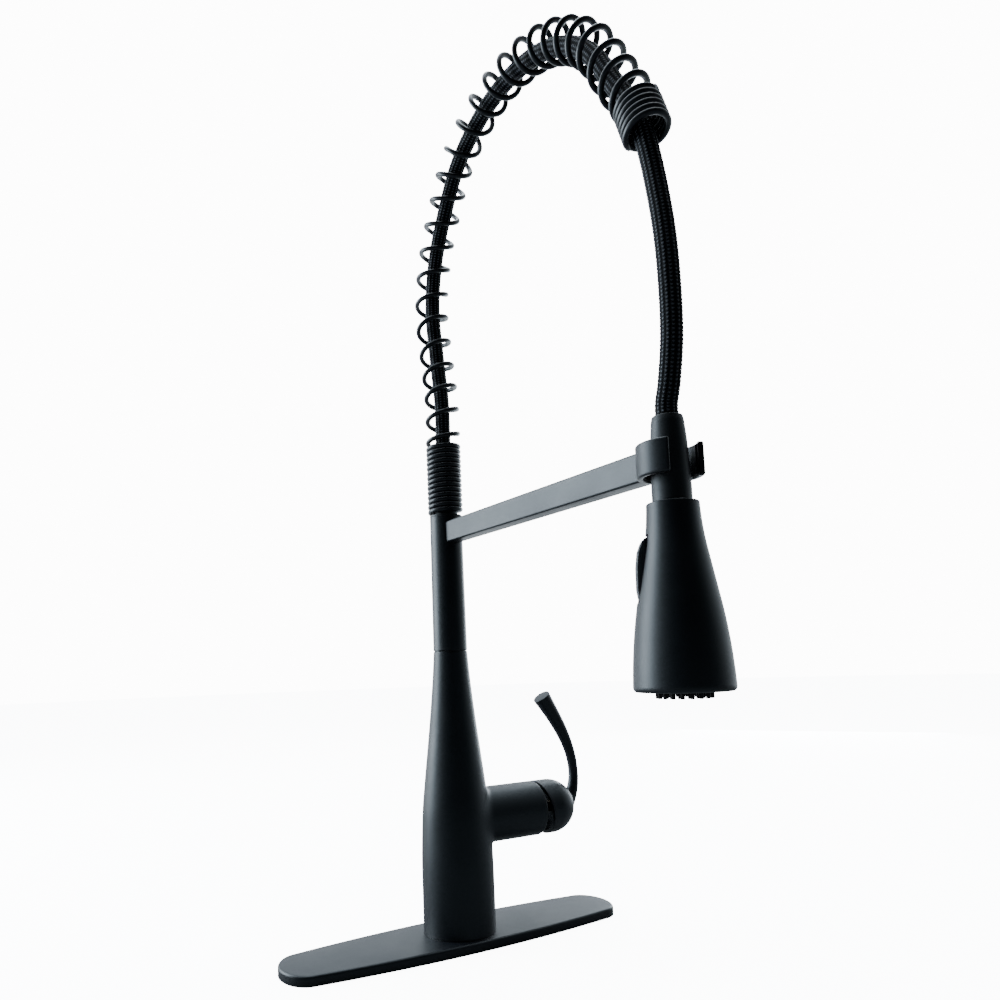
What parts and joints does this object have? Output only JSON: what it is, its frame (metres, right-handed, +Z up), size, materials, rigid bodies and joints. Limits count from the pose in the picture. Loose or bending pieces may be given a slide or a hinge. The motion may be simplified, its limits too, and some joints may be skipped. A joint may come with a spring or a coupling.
{
  "type": "spring neck kitchen faucet",
  "caption": "Single-handle deck-mounted kitchen faucet with a swivelling riser, coil-spring neck, docking arm and pull-off two-mode spray head.",
  "frame": {"origin": "centre of the deck plate's underside, on the deck", "axes": "+Z up; the docking arm reaches along -Y; the handle hub points along +X"},
  "size_m": [0.264, 0.2839, 0.5986],
  "materials": {
    "matte_black": "matte black coating with a soft sheen",
    "spring_black": "satin black coated spring wire",
    "hose_braid": "black nylon braid",
    "black_plastic": "fine matte black plastic",
    "rubber": "soft black rubber",
    "brass": "machined",
    "steel": "turned and brushed",
    "nylon": "moulded"
  },
  "bodies": {
    "base": {"deck_plate": "matte_black", "plate_gasket": "rubber", "body_shell": "matte_black", "base_seal": "rubber", "valve_housing": "brass", "outlet_tube": "brass", "cartridge": "nylon", "cartridge_nut": "brass", "bonnet": "matte_black", "swivel_post": "brass", "swivel_bush_lower": "nylon", "swivel_bush_upper": "nylon", "post_seals": "rubber", "post_circlip": "steel", "swivel_washer": "nylon"},
    "mixer": {"stem_carrier": "steel", "stem_pin": "steel"},
    "handle": {"handle_lever": "matte_black", "cartridge_stem": "brass", "handle_screw": "steel", "handle_plug": "black_plastic"},
    "spout": {"riser_tube": "matte_black", "hose_adapter": "brass", "adapter_seal": "rubber", "hose_sleeve": "steel", "spring_holder": "black_plastic", "docking_arm": "matte_black", "arm_screw": "steel", "docking_clip": "matte_black", "clip_liner": "black_plastic", "clip_screw": "steel", "spring_base": "spring_black", "spring_rise": "spring_black", "spring_bend": "spring_black", "spring_crown": "spring_black", "spring_fall": "spring_black", "spring_collar": "spring_black", "neck_hose": "hose_braid"},
    "hose_end": {"hose_nut": "black_plastic", "hose_stem": "brass", "stem_seal": "rubber"},
    "spray_head": {"head_shell": "matte_black", "head_waterway": "black_plastic", "inlet_screen": "steel", "check_valve": "nylon", "waterway_seal": "rubber", "nozzle_mat": "rubber", "spray_plate": "black_plastic", "face_ring": "matte_black", "aerator": "steel", "toggle_pin": "steel"},
    "toggle": {"toggle_button": "matte_black"},
    "diverter": {"diverter_spool": "brass"}
  },
  "joints": [
    {"name": "spout_swivel", "type": "hinge", "parent": "base", "child": "spout", "pos_m": [0, 0, 0.2046], "axis": [0, 0, 1], "continuous": true},
    {"name": "handle_temperature", "type": "hinge", "parent": "base", "child": "mixer", "pos_m": [0.06, 0, 0.0844], "axis": [1, 0, 0], "range_deg": [-45, 45]},
    {"name": "handle_flow", "type": "hinge", "parent": "mixer", "child": "handle", "pos_m": [0.06, 0, 0.0844], "axis": [0, 1, 0], "range_deg": [0, 18]},
    {"name": "spray_undock", "type": "slide", "parent": "spout", "child": "hose_end", "axis": [0, -1, 0], "range_m": [0, 0.06]},
    {"name": "spray_swivel", "type": "hinge", "parent": "hose_end", "child": "spray_head", "pos_m": [0, -0.23, 0.2545], "axis": [0, 0, 1], "continuous": true},
    {"name": "spray_toggle", "type": "hinge", "parent": "spray_head", "child": "toggle", "pos_m": [-0.01182, -0.22076, 0.228], "axis": [0.6157, 0.788, 0], "range_deg": [0, 7]},
    {"name": "diverter_travel", "type": "slide", "parent": "spray_head", "child": "diverter", "axis": [0, 0, -1], "range_m": [0, 0.0012]}
  ],
  "couplings": [
    {"joint": "diverter_travel", "follows": "spray_toggle", "m_per_rad": 0.0093}
  ]
}
